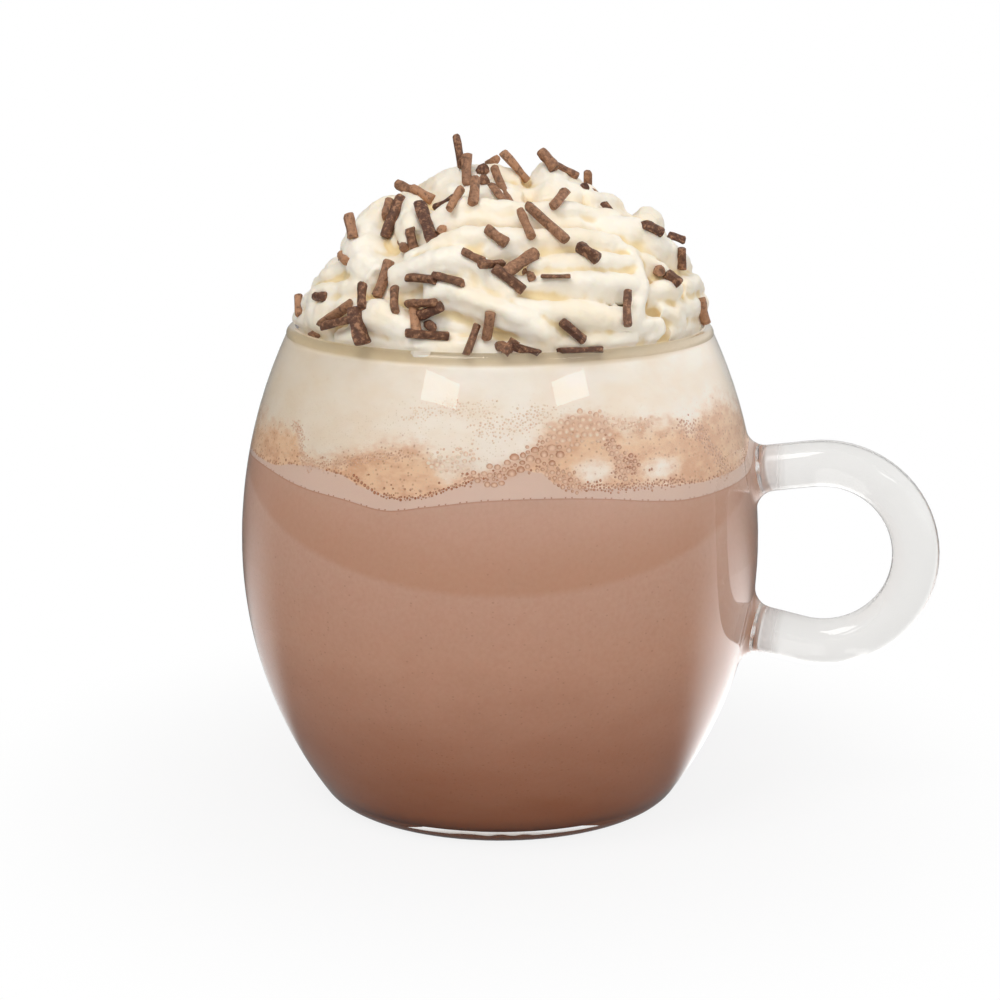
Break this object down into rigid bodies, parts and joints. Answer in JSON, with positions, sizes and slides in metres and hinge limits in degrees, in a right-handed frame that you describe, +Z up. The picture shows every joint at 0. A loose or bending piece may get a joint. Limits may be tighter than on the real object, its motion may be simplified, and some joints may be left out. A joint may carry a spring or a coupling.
{
  "type": "caffe mocha in a glass mug",
  "caption": "Milky chocolate coffee with froth in a clear round glass mug with a ring handle, topped with a piped dome of whipped cream.",
  "frame": {"origin": "centre of the mug's flat underside, on the axis of the mug", "axes": "+Z up along the mug's axis, +X towards the handle"},
  "size_m": [0.1206, 0.09, 0.1098],
  "materials": {
    "glass": "clear, polished",
    "mocha": "opaque milky drink",
    "froth": "fine bubbles",
    "cream": "soft, slightly moist",
    "sprinkles": "matt milk chocolate"
  },
  "bodies": {
    "root": {"mug": "glass", "mocha": "mocha", "milk_foam": "froth", "whipped_cream": "cream"}
  },
  "joints": []
}
